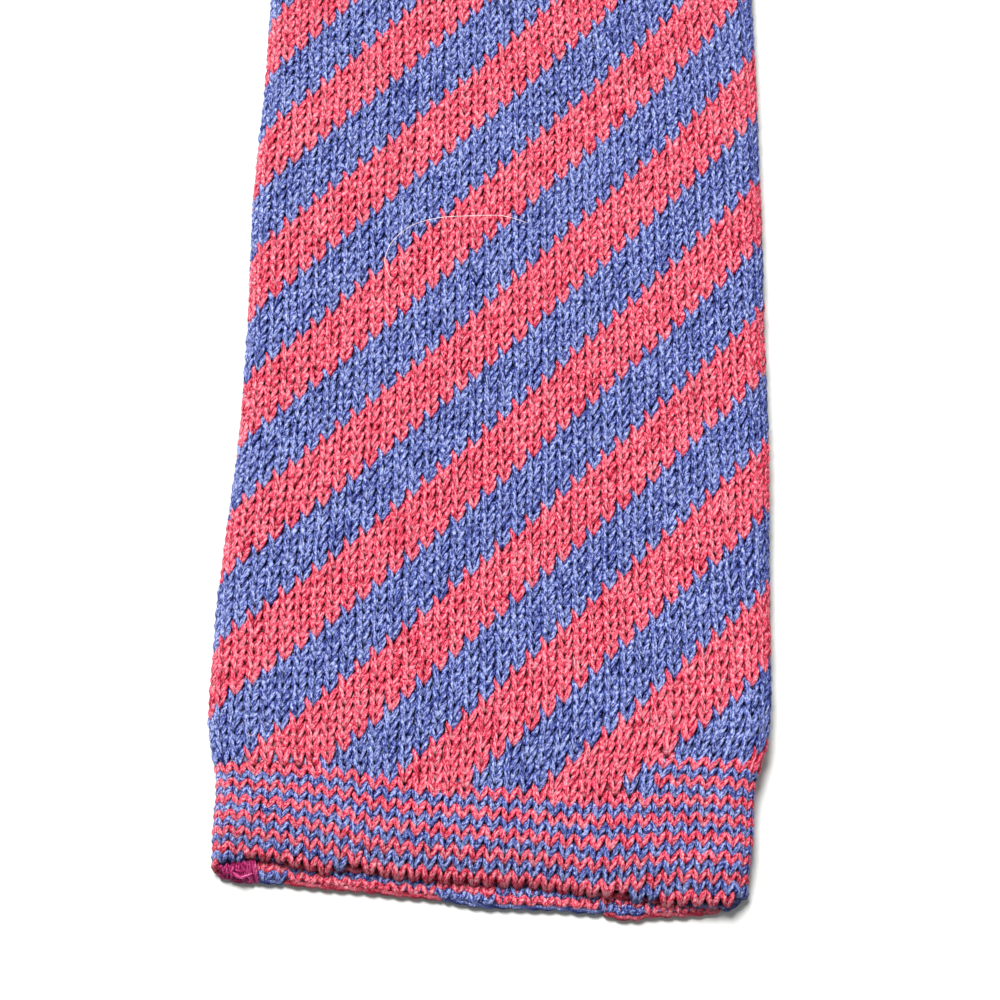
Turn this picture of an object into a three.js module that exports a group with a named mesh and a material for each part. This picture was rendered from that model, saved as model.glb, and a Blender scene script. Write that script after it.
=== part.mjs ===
// A knit tie: one flattened knitted tube with a striped band at each end, laid flat and folded once at the neck.
// Millimetres, +Z up. The wide end points to -Y, and the origin is on the blade's flat underside.
import * as THREE from "three";

// Sizes of the tie
const TOTAL_LENGTH = 1400;
const BLADE_WIDTH = 57;
const NECK_WIDTH = 34;
const TAIL_WIDTH = 44;
const WALL = 1.6;
const HOLLOW_HEIGHT = 0.6;
const BAND_LENGTH = 10.5;
const LIP_LENGTH = 1.8;
const END_SKEW_DEG = 3.7;
const PIECE_GAP = 0.3;
const TIE_THICKNESS = 2 * WALL + HOLLOW_HEIGHT;

// The patch of sewing thread at the left corner of the wide end
const PATCH_WIDTH = 3.6;
const PATCH_DEPTH = 1.2;
const PATCH_HEIGHT = 1.9;
const PATCH_INSET = 0.9;
const PATCH_ROUNDING = 0.25;

// How the tie lies
const ORIGIN_FROM_END = 60;
const FOLD_FROM_END = 790;
const FOLD_RADIUS = 5;
const TAIL_ANGLE_DEG = 8;
const FOLD_RUN = 80;
const DRAPE_RUN = 16;
const LAYER_GAP = 0.5;

// How finely the surfaces are drawn
const FACE_STEPS = 9;
const SIDE_STEPS = 4;
const BAND_STEP = 3.5;
const FLAT_STEP = 40;
const DRAPE_STEP = 15;
const FOLD_STEP = 1.45;

// The outline seen from above. along is a share of the named length, from the named end of the tie. width and
// shift are shares of the named width, and a positive shift moves the section to the right.
const LENGTHS = { tie: TOTAL_LENGTH, band: BAND_LENGTH };
const WIDTHS = { blade: BLADE_WIDTH, neck: NECK_WIDTH, tail: TAIL_WIDTH };
const OUTLINE = [
  { from: "wide", length: "band", along: 0.0, of: "blade", width: 0.915, shift: -0.017 },
  { from: "wide", length: "band", along: 0.4, of: "blade", width: 0.929, shift: -0.015 },
  { from: "wide", length: "band", along: 0.95, of: "blade", width: 0.94, shift: -0.013 },
  { from: "wide", length: "band", along: 1.25, of: "blade", width: 0.975, shift: -0.011 },
  { from: "wide", length: "band", along: 1.5, of: "blade", width: 0.993, shift: -0.01 },
  { from: "wide", length: "tie", along: 0.02, of: "blade", width: 1.0, shift: -0.01 },
  { from: "wide", length: "tie", along: 0.035, of: "blade", width: 0.99, shift: 0.0 },
  { from: "wide", length: "tie", along: 0.11, of: "blade", width: 0.97, shift: 0.0 },
  { from: "wide", length: "tie", along: 0.4, of: "neck", width: 1.0, shift: 0.0 },
  { from: "wide", length: "tie", along: 0.68, of: "neck", width: 1.0, shift: 0.0 },
  { from: "wide", length: "tie", along: 0.96, of: "tail", width: 1.0, shift: 0.0 },
  { from: "tail", length: "band", along: 1.25, of: "tail", width: 1.0, shift: 0.0 },
  { from: "tail", length: "band", along: 1.0, of: "tail", width: 0.97, shift: 0.0 },
  { from: "tail", length: "band", along: 0.0, of: "tail", width: 0.94, shift: 0.0 },
];

// The direction of the fold. The tie wraps around a half cylinder whose axis leans by half the tail's angle.
const lean = -THREE.MathUtils.degToRad(TAIL_ANGLE_DEG / 2);
const travel = new THREE.Vector2(Math.sin(lean), Math.cos(lean));
const foldAxis = new THREE.Vector2(Math.cos(lean), -Math.sin(lean));
const foldStart = FOLD_FROM_END * Math.cos(lean);
const foldLength = Math.PI * FOLD_RADIUS;
const tailStart = (foldStart + foldLength) / Math.cos(lean);
const tailDirection = new THREE.Vector2(-Math.sin(2 * lean), -Math.cos(2 * lean));
const tailOrigin = foldAxis
  .clone()
  .multiplyScalar(-tailStart * Math.sin(lean))
  .addScaledVector(travel, foldStart);

function smooth(value) {
  return THREE.MathUtils.smoothstep(value, 0, 1);
}

// Width and sideways shift of the tie at a distance from its wide end
function outlineAt(distance) {
  const rows = OUTLINE.map((row) => {
    const reach = row.along * LENGTHS[row.length];
    const width = row.width * WIDTHS[row.of];
    return {
      at: row.from === "wide" ? reach : TOTAL_LENGTH - reach,
      width,
      shift: row.shift * WIDTHS[row.of],
    };
  });
  const last = rows.length - 1;
  if (distance <= rows[0].at) return rows[0];
  if (distance >= rows[last].at) return rows[last];
  const next = rows.findIndex((row) => row.at > distance);
  const low = rows[next - 1];
  const high = rows[next];
  const share = (distance - low.at) / (high.at - low.at);
  return {
    at: distance,
    width: THREE.MathUtils.lerp(low.width, high.width, share),
    shift: THREE.MathUtils.lerp(low.shift, high.shift, share),
  };
}

// 1 where a point of the floor plan is over the tail, falling to 0 a drape's run away from it
function overTail(x, y) {
  const offset = new THREE.Vector2(x, y).sub(tailOrigin);
  const along = Math.max(0, offset.dot(tailDirection));
  const across = Math.abs(offset.cross(tailDirection));
  const place = tailStart + along;
  const edge = outlineAt(place).width / 2 + LAYER_GAP;
  const beside = 1 - smooth((across - edge) / DRAPE_RUN);
  const beyond = 1 - smooth((place - TOTAL_LENGTH - LAYER_GAP) / DRAPE_RUN);
  return beside * beyond;
}

// A point of the tie as it lies: distance from the wide end, place across the tie, and height above the side that
// faces the floor on the blade
function lay(distance, across, height) {
  const wrap = across * Math.sin(lean) + distance * Math.cos(lean);
  const axial = across * Math.cos(lean) - distance * Math.sin(lean);
  let run = wrap;
  let z = height;
  if (wrap <= foldStart) {
    const resting = (TIE_THICKNESS + LAYER_GAP) * overTail(across, distance);
    const rise = smooth((wrap - foldStart + FOLD_RUN) / FOLD_RUN);
    z += THREE.MathUtils.lerp(resting, 2 * FOLD_RADIUS, rise);
  } else if (wrap < foldStart + foldLength) {
    const turn = (wrap - foldStart) / FOLD_RADIUS;
    const radius = FOLD_RADIUS + height - TIE_THICKNESS / 2;
    run = foldStart + radius * Math.sin(turn);
    z = FOLD_RADIUS + TIE_THICKNESS / 2 + radius * Math.cos(turn);
  } else {
    run = 2 * foldStart + foldLength - wrap;
    z = TIE_THICKNESS - height;
  }
  const plan = foldAxis.clone().multiplyScalar(axial).addScaledVector(travel, run);
  return new THREE.Vector3(plan.x, plan.y - ORIGIN_FROM_END, z);
}

// A flat slot shape with round ends, as places across and heights, the underside first
function slotOutline(halfWidth, low, high) {
  const radius = (high - low) / 2;
  const flat = halfWidth - radius;
  const middle = (high + low) / 2;
  const points = [];
  for (const side of [1, -1]) {
    for (let i = 0; i <= FACE_STEPS; i++) {
      points.push({ across: side * flat * ((2 * i) / FACE_STEPS - 1), height: middle - side * radius });
    }
    for (let i = 1; i < SIDE_STEPS; i++) {
      const angle = (i / SIDE_STEPS - 0.5) * Math.PI;
      points.push({
        across: side * (flat + radius * Math.cos(angle)),
        height: middle + side * radius * Math.sin(angle),
      });
    }
  }
  return points;
}

// One ring of the tube. lip is how far the lower wall runs on past the upper one.
function ring(distance, inset, lip) {
  const { width, shift } = outlineAt(distance);
  const skew = Math.tan(THREE.MathUtils.degToRad(END_SKEW_DEG));
  const skewFade = 1 - smooth(distance / ORIGIN_FROM_END);
  return slotOutline(width / 2 - inset, inset, TIE_THICKNESS - inset).map((point) => {
    const across = point.across + shift;
    const reach = point.height <= WALL ? lip : 0;
    return lay(distance - skew * skewFade * across - reach, across, point.height);
  });
}

// A closed hollow tube through rings at the given distances from the wide end, open at both mouths
function tubeGeometry(distances, lip = 0) {
  const rings = distances.map((distance, i) => {
    const reach = i === 0 ? lip : 0;
    return [ring(distance, 0, reach), ring(distance, WALL, reach)];
  });
  const count = rings[0][0].length;
  const positions = rings.flat(2).flatMap((point) => point.toArray());
  const indices = [];
  const quad = (a, b, c, d) => indices.push(a, b, c, a, c, d);
  const vertex = (ringIndex, inner, i) => (2 * ringIndex + inner) * count + (i % count);
  for (let r = 0; r + 1 < rings.length; r++) {
    for (let i = 0; i < count; i++) {
      quad(vertex(r, 0, i), vertex(r, 0, i + 1), vertex(r + 1, 0, i + 1), vertex(r + 1, 0, i));
      quad(vertex(r, 1, i), vertex(r + 1, 1, i), vertex(r + 1, 1, i + 1), vertex(r, 1, i + 1));
    }
  }
  const last = rings.length - 1;
  for (let i = 0; i < count; i++) {
    quad(vertex(0, 0, i), vertex(0, 1, i), vertex(0, 1, i + 1), vertex(0, 0, i + 1));
    quad(vertex(last, 0, i), vertex(last, 0, i + 1), vertex(last, 1, i + 1), vertex(last, 1, i));
  }
  const geometry = new THREE.BufferGeometry();
  geometry.setAttribute("position", new THREE.Float32BufferAttribute(positions, 3));
  geometry.setIndex(indices.reverse());
  geometry.computeVertexNormals();
  return geometry;
}

// Evenly spaced distances from one place to another, no more than the step apart
function stations(from, to, step) {
  const count = Math.max(1, Math.ceil((to - from) / step));
  return Array.from({ length: count + 1 }, (_, i) => from + ((to - from) * i) / count);
}

// Distances of the long tube's rings: close together at the shoulder, where it drapes over the tail, and at the fold
function tubeStations() {
  const start = BAND_LENGTH + PIECE_GAP;
  const end = TOTAL_LENGTH - BAND_LENGTH - PIECE_GAP;
  const spread = (NECK_WIDTH + DRAPE_RUN) / Math.sin(2 * Math.abs(lean));
  const marks = [
    { to: 2 * BAND_LENGTH, step: BAND_STEP },
    { to: Math.max(ORIGIN_FROM_END, FOLD_FROM_END - spread), step: FLAT_STEP },
    { to: FOLD_FROM_END - FOLD_RADIUS, step: DRAPE_STEP },
    { to: tailStart + FOLD_RADIUS, step: FOLD_STEP },
    { to: end, step: FLAT_STEP },
  ];
  const distances = [start];
  for (const mark of marks) {
    distances.push(...stations(distances.at(-1), Math.min(mark.to, end), mark.step).slice(1));
  }
  return distances;
}

// The patch of sewing thread stands on the lower lip, in front of the upper wall's end
function patchGeometry() {
  const flatWidth = PATCH_WIDTH / 2 - PATCH_ROUNDING;
  const flatHeight = PATCH_HEIGHT / 2 - PATCH_ROUNDING;
  const face = new THREE.Shape([
    new THREE.Vector2(-flatWidth, -flatHeight),
    new THREE.Vector2(flatWidth, -flatHeight),
    new THREE.Vector2(flatWidth, flatHeight),
    new THREE.Vector2(-flatWidth, flatHeight),
  ]);
  return new THREE.ExtrudeGeometry(face, {
    depth: PATCH_DEPTH - 2 * PATCH_ROUNDING,
    bevelThickness: PATCH_ROUNDING,
    bevelSize: PATCH_ROUNDING,
    bevelSegments: 2,
  });
}

function piece(name, geometry, color) {
  const mesh = new THREE.Mesh(geometry, new THREE.MeshStandardMaterial({ color, roughness: 0.95, metalness: 0 }));
  mesh.name = name;
  return mesh;
}

const KNIT_COLOUR = "#9f6b93";
const THREAD_COLOUR = "#c8326e";

const tie = new THREE.Group();
tie.add(piece("knit_tube", tubeGeometry(tubeStations()), KNIT_COLOUR));
tie.add(piece("wide_end_band", tubeGeometry(stations(0, BAND_LENGTH, BAND_STEP), LIP_LENGTH), KNIT_COLOUR));
tie.add(
  piece("tail_end_band", tubeGeometry(stations(TOTAL_LENGTH - BAND_LENGTH, TOTAL_LENGTH, BAND_STEP)), KNIT_COLOUR),
);

const endOutline = outlineAt(0);
const patchAcross = endOutline.shift - endOutline.width / 2 + PATCH_INSET + PATCH_WIDTH / 2;
const patchSkew = -Math.tan(THREE.MathUtils.degToRad(END_SKEW_DEG)) * (patchAcross + PATCH_WIDTH / 2);
const patch = piece("corner_stitch", patchGeometry(), THREAD_COLOUR);
patch.rotation.x = Math.PI / 2;
patch.position.set(
  patchAcross,
  patchSkew - ORIGIN_FROM_END - PIECE_GAP - PATCH_ROUNDING,
  WALL + PIECE_GAP + PATCH_HEIGHT / 2,
);
tie.add(patch);

export default tie;
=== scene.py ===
"""A knit tie: plump two-ply stitches over a hollow knitted tube, laid flat and folded once at the neck."""
import math

import bpy
import numpy as np
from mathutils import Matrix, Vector


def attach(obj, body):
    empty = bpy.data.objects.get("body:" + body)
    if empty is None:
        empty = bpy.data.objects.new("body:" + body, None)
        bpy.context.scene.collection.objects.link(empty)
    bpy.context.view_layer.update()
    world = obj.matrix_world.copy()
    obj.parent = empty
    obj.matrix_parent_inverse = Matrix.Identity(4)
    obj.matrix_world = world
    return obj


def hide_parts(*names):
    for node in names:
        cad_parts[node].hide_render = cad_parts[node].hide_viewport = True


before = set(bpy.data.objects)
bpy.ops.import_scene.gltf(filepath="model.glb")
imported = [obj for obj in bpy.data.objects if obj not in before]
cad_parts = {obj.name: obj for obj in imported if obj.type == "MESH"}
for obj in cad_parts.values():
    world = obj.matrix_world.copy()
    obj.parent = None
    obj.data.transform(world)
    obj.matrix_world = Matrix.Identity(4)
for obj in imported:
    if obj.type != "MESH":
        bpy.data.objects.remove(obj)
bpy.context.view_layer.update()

# Sizes below are millimetres, and meshes are made in metres.
MM = 0.001

# Sizes of the tie, as its solids have them
TOTAL_LENGTH = 1400.0
BLADE_WIDTH = 57.0
NECK_WIDTH = 34.0
TAIL_WIDTH = 44.0
TIE_THICKNESS = 3.8
BAND_LENGTH = 10.5
ORIGIN_FROM_END = 60.0
FOLD_FROM_END = 790.0
FOLD_RADIUS = 5.0
TAIL_ANGLE_DEG = 8.0
FOLD_RUN = 80.0
DRAPE_RUN = 16.0
LAYER_GAP = 0.5

# Outline rows: distance from the wide end, width and sideways shift
WIDE_OUTLINE = [
    (0.0, 0.915 * BLADE_WIDTH, -0.017 * BLADE_WIDTH),
    (0.4 * BAND_LENGTH, 0.929 * BLADE_WIDTH, -0.015 * BLADE_WIDTH),
    (0.95 * BAND_LENGTH, 0.94 * BLADE_WIDTH, -0.013 * BLADE_WIDTH),
    (1.25 * BAND_LENGTH, 0.975 * BLADE_WIDTH, -0.011 * BLADE_WIDTH),
    (1.5 * BAND_LENGTH, 0.993 * BLADE_WIDTH, -0.01 * BLADE_WIDTH),
    (0.02 * TOTAL_LENGTH, BLADE_WIDTH, -0.01 * BLADE_WIDTH),
    (0.035 * TOTAL_LENGTH, 0.99 * BLADE_WIDTH, 0.0),
    (0.11 * TOTAL_LENGTH, 0.97 * BLADE_WIDTH, 0.0),
    (0.4 * TOTAL_LENGTH, NECK_WIDTH, 0.0),
    (0.68 * TOTAL_LENGTH, NECK_WIDTH, 0.0),
    (0.96 * TOTAL_LENGTH, TAIL_WIDTH, 0.0),
    (TOTAL_LENGTH - 1.25 * BAND_LENGTH, TAIL_WIDTH, 0.0),
    (TOTAL_LENGTH - BAND_LENGTH, 0.97 * TAIL_WIDTH, 0.0),
    (TOTAL_LENGTH, 0.94 * TAIL_WIDTH, 0.0),
]

# Knit gauge: wales round the tube, and the course height, which eases out along the blade
WALES = 75
FRONT_WALES = 37
COURSE_AT_END = 1.25
COURSE_EASE = 0.12
COURSE_EASE_FROM = 45.0
COURSE_EASE_TO = 110.0
STRIPE_COURSES = 6
STRIPE_START = 16
ROUND_CLIMB = 9.0

# How courses are counted: how far past each end, and at how many places
COURSE_MARGIN = 10.0
COURSE_SAMPLES = 14201
SEARCH_BEFORE = 6.0
SEARCH_BEYOND = 8.0
SEARCH_SAMPLES = 800

# How far the wales drift sideways along the blade: distance from the wide end, and wales
WALE_DRIFT = [(0.0, 0.85), (8.0, 0.9), (16.0, 1.01), (24.0, 0.93), (32.0, 0.69), (40.0, 0.46), (48.0, 0.27),
              (60.0, 0.2), (72.0, 0.11), (82.0, 0.04), (92.0, -0.12), (104.0, -0.42)]

# How many courses each course line climbs across the front, at seven wales and seven distances
CLIMB_WALES = (0.0, 6.0, 12.0, 18.5, 25.0, 31.0, 37.0)
CLIMB_ROWS = [
    (12.0, (-2.26, -2.19, -1.45, -0.28, 0.85, 1.49, 1.41)),
    (25.0, (-2.82, -2.41, -1.46, -0.09, 1.32, 2.39, 2.98)),
    (40.0, (-3.48, -2.82, -1.78, -0.36, 1.17, 2.54, 3.71)),
    (55.0, (-3.68, -2.8, -1.71, -0.34, 1.18, 2.67, 4.22)),
    (70.0, (-3.81, -2.67, -1.53, -0.23, 1.22, 2.76, 4.58)),
    (85.0, (-4.35, -2.84, -1.59, -0.31, 1.09, 2.69, 4.74)),
    (102.0, (-5.87, -3.73, -2.15, -0.73, 0.73, 2.45, 4.81)),
]

# Lines across the wide end, as place across and distance from the end
BAND_TOP = [(-28.0, 10.5), (-20.5, 10.3), (-14.4, 10.0), (-10.8, 9.3), (-6.3, 8.8), (-1.6, 8.5), (9.0, 7.9),
            (20.0, 8.2), (28.0, 8.0)]
BAND_ROW = [(-28.0, 0.78), (-24.0, 0.785), (-19.5, 0.83), (-14.4, 0.93), (-10.3, 1.03), (-7.4, 1.02), (3.2, 1.0),
            (6.0, 1.0), (9.0, 1.03), (11.6, 1.07), (13.5, 1.06), (17.0, 0.99), (20.0, 0.94), (28.0, 0.93)]
CREASE = [(-28.0, 0.3), (-26.3, 0.6), (-26.0, 0.9), (-24.6, 1.32), (-22.5, 1.67), (-21.1, 1.5), (-18.8, 0.85),
          (-16.7, 0.6), (-11.7, 0.52), (-9.5, 0.27), (-7.4, 0.02), (-3.9, -0.1), (0.5, -0.3), (5.3, -0.3),
          (7.5, -0.64), (8.9, -0.9), (11.0, -1.25), (13.2, -1.5), (16.6, -1.71), (18.8, -1.96), (22.0, -2.18),
          (25.2, -2.1), (26.4, -1.2), (28.0, -1.0)]
LIP_EDGE = [(-28.0, 0.9), (-26.5, 0.49), (-25.8, -0.09), (-24.0, -0.55), (-22.4, -0.61), (-19.4, -0.65),
            (-16.0, -0.97), (-12.4, -1.19), (-8.8, -1.5), (-5.3, -1.72), (-2.4, -2.15), (0.4, -2.55),
            (5.3, -2.57), (8.1, -2.6), (12.4, -2.9), (13.8, -3.32), (15.7, -3.36), (17.3, -3.08), (20.7, -2.91),
            (23.9, -2.54), (25.5, -2.0), (26.2, -1.1), (28.0, -0.8)]
JOG_ACROSS = 16.3
JOG_ROWS = 4

# The stretch whose stitches are modelled one by one
STITCHED_LENGTH = 116.0
SIDE_WALES = 3
SINK = 0.2
SINK_RUN = 7.0

lean = -math.radians(TAIL_ANGLE_DEG / 2)
fold_start = FOLD_FROM_END * math.cos(lean)
fold_length = math.pi * FOLD_RADIUS
tail_start = (fold_start + fold_length) / math.cos(lean)
travel = np.array([math.sin(lean), math.cos(lean)])
fold_axis = np.array([math.cos(lean), -math.sin(lean)])
tail_direction = np.array([-math.sin(2 * lean), -math.cos(2 * lean)])
tail_origin = -tail_start * math.sin(lean) * fold_axis + fold_start * travel


def smooth(value):
    """0 to 1 with soft ends."""
    value = np.clip(value, 0.0, 1.0)
    return value * value * (3.0 - 2.0 * value)


def line(table, across):
    """The value of a listed line at each place along its table."""
    places, values = zip(*table)
    return np.interp(across, places, values)


# How far the yarn stands out beyond the solids' sides: distance from the wide end, left side and right side
SIDE_YARN = [(0.0, 0.9, 0.5), (8.0, 0.5, 0.4), (12.0, 0.6, 0.3), (20.0, 0.45, 0.6), (32.0, 0.25, 0.5),
             (46.0, 0.05, 0.65), (60.0, 0.15, 0.5), (76.0, 0.75, 0.55), (90.0, 0.4, 0.5), (104.0, 0.5, 0.3),
             (140.0, 0.3, 0.3)]


def outline_at(distance):
    """Width and sideways shift of the tie at each distance from its wide end."""
    places, widths, shifts = zip(*WIDE_OUTLINE)
    along, left, right = zip(*SIDE_YARN)
    more_left, more_right = np.interp(distance, along, left), np.interp(distance, along, right)
    width = np.interp(distance, places, widths) + more_left + more_right
    return width, np.interp(distance, places, shifts) + (more_right - more_left) / 2


def over_tail(across, distance):
    """1 where the blade is over the tail, falling to 0 beside it."""
    x = across - tail_origin[0]
    y = distance - tail_origin[1]
    along = np.maximum(0.0, x * tail_direction[0] + y * tail_direction[1])
    aside = np.abs(x * tail_direction[1] - y * tail_direction[0])
    place = tail_start + along
    edge = outline_at(place)[0] / 2 + LAYER_GAP
    beside = 1 - smooth((aside - edge) / DRAPE_RUN)
    beyond = 1 - smooth((place - TOTAL_LENGTH - LAYER_GAP) / DRAPE_RUN)
    return beside * beyond


def lay(distance, across, height):
    """Points of the tie as it lies, in millimetres, from its flat sizes."""
    wrap = across * math.sin(lean) + distance * math.cos(lean)
    axial = across * math.cos(lean) - distance * math.sin(lean)
    resting = (TIE_THICKNESS + LAYER_GAP) * over_tail(across, distance)
    rise = smooth((wrap - fold_start + FOLD_RUN) / FOLD_RUN)
    turn = np.clip((wrap - fold_start) / FOLD_RADIUS, 0.0, math.pi)
    radius = FOLD_RADIUS + height - TIE_THICKNESS / 2
    on_blade = wrap <= fold_start
    on_tail = wrap >= fold_start + fold_length
    run = np.where(on_blade, wrap, fold_start + radius * np.sin(turn))
    run = np.where(on_tail, 2 * fold_start + fold_length - wrap, run)
    z = FOLD_RADIUS + TIE_THICKNESS / 2 + radius * np.cos(turn)
    z = np.where(on_blade, height + resting + (2 * FOLD_RADIUS - resting) * rise, z)
    z = np.where(on_tail, TIE_THICKNESS - height, z)
    x = fold_axis[0] * axial + travel[0] * run
    y = fold_axis[1] * axial + travel[1] * run - ORIGIN_FROM_END
    return np.stack([x, y, z], axis=-1)


def section(turn, width, lift):
    """Place across and height of the tube's outline, from wales round it. Wale 0 is at the left edge, and the top
    comes first. lift stands out from the outline."""
    radius = TIE_THICKNESS / 2
    flat = width / 2 - radius
    quarter = math.pi * radius / 2
    round_it = 4 * flat + 4 * quarter
    along = np.mod(turn / WALES, 1.0) * round_it
    top = along - quarter
    right = top - 2 * flat
    under = right - 2 * quarter
    left = under - 2 * flat
    angle = np.where(top < 0, math.pi - along / radius, math.pi / 2)
    angle = np.where(right >= 0, math.pi / 2 - right / radius, angle)
    angle = np.where(under >= 0, -math.pi / 2, angle)
    angle = np.where(left >= 0, -math.pi / 2 - left / radius, angle)
    centre = np.where(top < 0, -flat, -flat + top)
    centre = np.where(right >= 0, flat, centre)
    centre = np.where(under >= 0, flat - under, centre)
    centre = np.where(left >= 0, -flat, centre)
    reach = radius + lift
    return centre + reach * np.cos(angle), radius + reach * np.sin(angle)


def wale_width(distance):
    """Width of one wale at each distance from the wide end."""
    radius = TIE_THICKNESS / 2
    width = outline_at(distance)[0]
    return (4 * (width / 2 - radius) + 2 * math.pi * radius) / WALES


# The wide end is pressed flat near its mouth, and both of its edges roll over
MOUTH_PRESS = 0.36
MOUTH_RUN = 4.5
UPPER_EDGE_RADIUS = 0.95
LIP_EDGE_RADIUS = 0.8
BEYOND_EDGE_FALL = 0.5
UPPER_FROM_HEIGHT = 0.7
UPPER_HEIGHT_RUN = 0.6
LIP_HEIGHT = 1.05
LOWEST_YARN = 0.12


def rolled(from_edge, radius):
    """How far a surface has dropped where it rolls over an edge."""
    inside = np.clip(1 - from_edge / radius, 0.0, 1.0)
    over = radius * (1 - np.sqrt(np.maximum(0.0, 1 - inside * inside)))
    return over + BEYOND_EDGE_FALL * np.maximum(0.0, -from_edge)


def pressed(across, distance, height):
    """Heights of the tube near its mouth, where it is pressed flat."""
    from_crease = distance - line(CREASE, across)
    return height * (1 - MOUTH_PRESS * (1 - smooth(from_crease / MOUTH_RUN)))


def place(wale, distance, lift):
    """Points of the tie's outer face in millimetres, from wale, distance from the wide end and lift."""
    width, shift = outline_at(distance)
    across, height = section(wale + wale_drift(distance), width, lift)
    height = pressed(across, distance, height)
    upper = smooth((height - UPPER_FROM_HEIGHT) / UPPER_HEIGHT_RUN)
    height = height - upper * rolled(distance - line(CREASE, across), UPPER_EDGE_RADIUS)
    return lay(distance, across + shift, np.maximum(height, LOWEST_YARN))


def lip_place(wale, distance, lift):
    """Points on the lower layer where it reaches out under the upper one."""
    width, shift = outline_at(distance)
    across, _ = section(wale + wale_drift(distance), width, 0.0)
    height = LIP_HEIGHT + lift - rolled(distance - line(LIP_EDGE, across), LIP_EDGE_RADIUS)
    return lay(distance, across + shift, np.maximum(height, LOWEST_YARN))


def course_height(distance):
    """Height of one course at each distance from the wide end."""
    ease = smooth((distance - COURSE_EASE_FROM) / (COURSE_EASE_TO - COURSE_EASE_FROM))
    return COURSE_AT_END + COURSE_EASE * ease


course_places = np.linspace(-COURSE_MARGIN, TOTAL_LENGTH + COURSE_MARGIN, COURSE_SAMPLES)
course_steps = np.diff(course_places) / course_height(course_places[:-1])
course_counts = np.concatenate([[0.0], np.cumsum(course_steps)])
course_counts -= np.interp(0.0, course_places, course_counts)


def courses_to(distance):
    """Number of courses from the wide end to each distance."""
    return np.interp(distance, course_places, course_counts)


def wale_drift(distance):
    """How many wales the whole pattern has moved sideways at each distance."""
    return line(WALE_DRIFT, distance)


def course_climb(wale, distance):
    """How many courses a course line has climbed at each wale, all round the tube."""
    turns = np.floor(np.asarray(wale) / WALES)
    inside = np.mod(wale, WALES)
    distances, rows = zip(*CLIMB_ROWS)
    columns = np.array(rows)
    at_wales = [np.interp(distance, distances, columns[:, i]) for i in range(len(CLIMB_WALES))]
    climb = at_wales[0] * np.ones_like(inside * distance)
    for i in range(1, len(CLIMB_WALES)):
        share = (inside - CLIMB_WALES[i - 1]) / (CLIMB_WALES[i] - CLIMB_WALES[i - 1])
        climb = climb + (at_wales[i] - at_wales[i - 1]) * np.clip(share, 0.0, 1.0)
    behind = np.clip((inside - FRONT_WALES) / (WALES - FRONT_WALES), 0.0, 1.0)
    climb = climb + (at_wales[0] + ROUND_CLIMB - at_wales[-1]) * behind
    return climb + ROUND_CLIMB * turns


def course_at(wale, distance):
    """The course that passes each place."""
    return courses_to(distance) - course_climb(wale, distance)


def distance_of(course, wale):
    """Where a wale meets each of its courses."""
    distances = np.linspace(-SEARCH_BEFORE, STITCHED_LENGTH + SEARCH_BEYOND, SEARCH_SAMPLES)
    return np.interp(course, course_at(wale + 0.5, distances), distances)


def is_red(course, wale):
    """True where a stitch of the blade is red: each stripe climbs one course for each wale."""
    return np.mod(course - STRIPE_START - wale, 2 * STRIPE_COURSES) < STRIPE_COURSES


# One leg of a stitch: height in courses, place across in wales, lift in millimetres and thickness share
LEG_ROWS = [
    (-0.26, 0.03, -0.60, 0.44),
    (0.02, 0.095, -0.34, 0.87),
    (0.53, 0.225, -0.22, 1.00),
    (1.07, 0.355, -0.30, 0.95),
    (1.53, 0.41, -0.64, 0.62),
]
# The same for the last row before a rolled edge: rounder and plumper
EDGE_LEG_ROWS = [
    (-0.14, 0.09, -0.62, 0.55),
    (0.04, 0.14, -0.34, 1.00),
    (0.40, 0.235, -0.22, 1.12),
    (0.92, 0.35, -0.30, 1.00),
    (1.36, 0.405, -0.66, 0.62),
]
LEG_SIDES = 6
# Half the yarn's width in wales, and half its height in millimetres
YARN_HALF_WIDTH = 0.208
YARN_HALF_HEIGHT = 0.30

# How much the stitches and their legs vary
STITCH_SKEW = 0.035
STITCH_NUDGE = 0.02
STITCH_TONE = 1.0
LEG_THICKNESS = 0.06
LEG_WANDER = 0.02
LEG_SLIP = 0.05
LEG_LIFT = 0.03
LEG_TONE = 0.6


def make_mesh(name, points, faces, uv, tone=None):
    """A smooth mesh object from points in millimetres, with its yarn coordinates and its tone."""
    mesh = bpy.data.meshes.new(name)
    mesh.from_pydata((points * MM).tolist(), [], faces)
    mesh.polygons.foreach_set("use_smooth", np.ones(len(mesh.polygons), bool))
    layer = mesh.uv_layers.new(name="yarn")
    layer.data.foreach_set("uv", uv.astype(np.float32).ravel())
    if tone is not None:
        shade = mesh.attributes.new("tone", "FLOAT", "POINT")
        shade.data.foreach_set("value", tone.astype(np.float32))
    mesh.update()
    thing = bpy.data.objects.new(name, mesh)
    bpy.context.scene.collection.objects.link(thing)
    return thing


def leg_faces():
    """Faces of one leg with their yarn coordinates: round the yarn, and along it."""
    rings = len(LEG_ROWS)
    faces = []
    corners = []
    for ring in range(rings - 1):
        for side in range(LEG_SIDES):
            after = (side + 1) % LEG_SIDES
            low, high = ring * LEG_SIDES, (ring + 1) * LEG_SIDES
            faces.append((low + side, low + after, high + after, high + side))
            for step, row in ((side, ring), (side + 1, ring), (side + 1, ring + 1), (side, ring + 1)):
                corners.append((step / LEG_SIDES, LEG_ROWS[row][0]))
    for ring, order in ((0, range(LEG_SIDES - 1, -1, -1)), (rings - 1, range(LEG_SIDES))):
        faces.append(tuple(ring * LEG_SIDES + side for side in order))
        corners.extend((side / LEG_SIDES, LEG_ROWS[ring][0]) for side in order)
    return faces, np.array(corners)


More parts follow.
